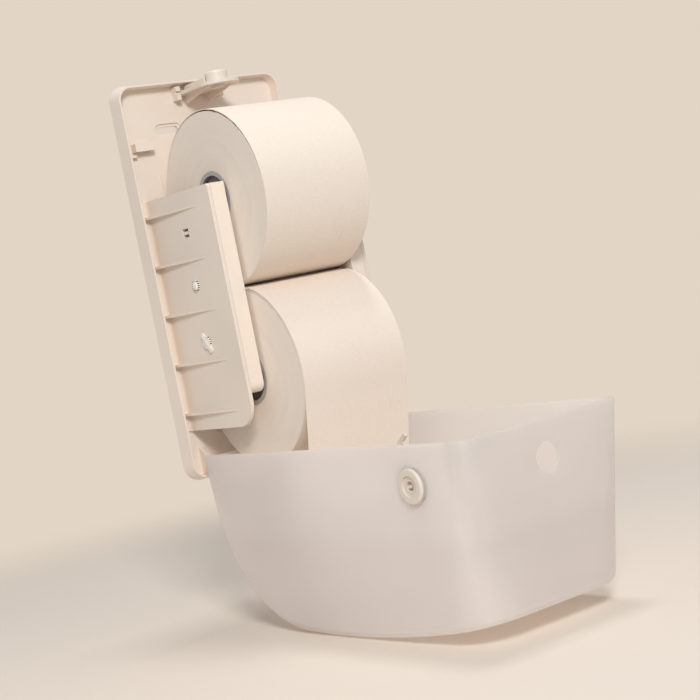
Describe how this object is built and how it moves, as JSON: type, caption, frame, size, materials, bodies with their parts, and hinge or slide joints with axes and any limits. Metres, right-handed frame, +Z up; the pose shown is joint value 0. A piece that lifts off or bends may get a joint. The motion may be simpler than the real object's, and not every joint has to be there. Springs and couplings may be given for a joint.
{
  "type": "double roll toilet paper dispenser",
  "caption": "Wall dispenser for stacked toilet paper rolls: shallow tray, arms with roll tracks, push latch and a translucent drop-down cover with side lock.",
  "frame": {"origin": "centre of the wall-screw slot pattern, in the plane of the wall", "axes": "+X to the right for someone facing the wall, -Y out of the wall into the room, +Z up"},
  "size_m": [0.157, 0.3433, 0.443],
  "materials": {
    "cream_plastic": "satin moulded, warm cream",
    "cream_track": "satin moulded, warm cream",
    "cream_fastener": "satin moulded, warm cream",
    "button_plastic": "satin moulded, warm cream",
    "pawl_plastic": "natural acetal",
    "steel_pin": "ground",
    "axle_plastic": "moulded, dark grey",
    "grey_core": "moulded grey tube",
    "dark_hub": "moulded, dark grey",
    "creped_paper": "creped two-ply tissue",
    "translucent_cover": "translucent smoke-white, satin outside",
    "clear_plastic": "moulded, translucent",
    "lock_cream": "satin moulded",
    "grey_nylon": "moulded nylon",
    "lock_core": "moulded, shaded",
    "zinc_cam": "zinc plated",
    "steel_screw": "zinc plated"
  },
  "bodies": {
    "chassis": {"back_tray": "cream_plastic", "left_track": "cream_track", "right_track": "cream_track", "pawl_pins": "steel_pin", "lower_axle": "axle_plastic", "paper_tail": "creped_paper"},
    "cover": {"front_cover": "translucent_cover", "tear_bar": "clear_plastic", "hinge_pins": "steel_pin", "lock_housing": "lock_cream", "lock_nut": "grey_nylon"},
    "lock": {"lock_plug": "lock_core", "lock_cam": "zinc_cam", "cam_screw": "steel_screw"},
    "latch": {"latch_tongue": "cream_plastic", "latch_button": "button_plastic"},
    "left_wing": {"left_wing_stud": "cream_fastener"},
    "right_wing": {"right_wing_stud": "cream_fastener"},
    "left_pawl": {"left_pawl": "pawl_plastic"},
    "right_pawl": {"right_pawl": "pawl_plastic"},
    "upper_axle": {"upper_axle": "axle_plastic"},
    "upper_roll": {"upper_roll": "creped_paper", "upper_core": "grey_core", "upper_hub_left": "dark_hub", "upper_hub_right": "dark_hub"},
    "lower_roll": {"lower_roll": "creped_paper", "lower_core": "grey_core", "lower_hub_left": "dark_hub", "lower_hub_right": "dark_hub"}
  },
  "joints": [
    {"name": "cover_hinge", "type": "hinge", "parent": "chassis", "child": "cover", "pos_m": [0, -0.02735, -0.15345], "axis": [-1, 0, 0], "range_deg": [0, 90]},
    {"name": "lock_turn", "type": "hinge", "parent": "cover", "child": "lock", "pos_m": [-0.06, -0.2853, -0.1685], "axis": [1, 0, 0], "range_deg": [0, 35]},
    {"name": "latch_press", "type": "hinge", "parent": "chassis", "child": "latch", "pos_m": [0, -0.008, 0.1494], "axis": [1, 0, 0], "range_deg": [0, 9], "stiffness_Nm_per_rad": 0.8, "springref_deg": -1.72},
    {"name": "left_wing_turn", "type": "hinge", "parent": "chassis", "child": "left_wing", "pos_m": [-0.068, -0.0568, -0.0523], "axis": [-1, 0, 0], "range_deg": [0, 90]},
    {"name": "right_wing_turn", "type": "hinge", "parent": "chassis", "child": "right_wing", "pos_m": [0.068, -0.0568, -0.0523], "axis": [1, 0, 0], "range_deg": [0, 90]},
    {"name": "left_pawl_swing", "type": "hinge", "parent": "chassis", "child": "left_pawl", "pos_m": [-0.057, -0.0642, 0.0432], "axis": [1, 0, 0], "range_deg": [0, 95], "stiffness_Nm_per_rad": 0.002, "springref_deg": -11.46},
    {"name": "right_pawl_swing", "type": "hinge", "parent": "chassis", "child": "right_pawl", "pos_m": [0.057, -0.0642, 0.0432], "axis": [1, 0, 0], "range_deg": [0, 95], "stiffness_Nm_per_rad": 0.002, "springref_deg": -11.46},
    {"name": "upper_axle_lift", "type": "slide", "parent": "chassis", "child": "upper_axle", "axis": [0, 0, 1], "range_m": [0, 0.012]},
    {"name": "upper_roll_spin", "type": "hinge", "parent": "upper_axle", "child": "upper_roll", "pos_m": [0, -0.0782, 0.0552], "axis": [1, 0, 0], "continuous": true},
    {"name": "lower_roll_spin", "type": "hinge", "parent": "chassis", "child": "lower_roll", "pos_m": [0, -0.0782, -0.0848], "axis": [1, 0, 0], "continuous": true}
  ]
}
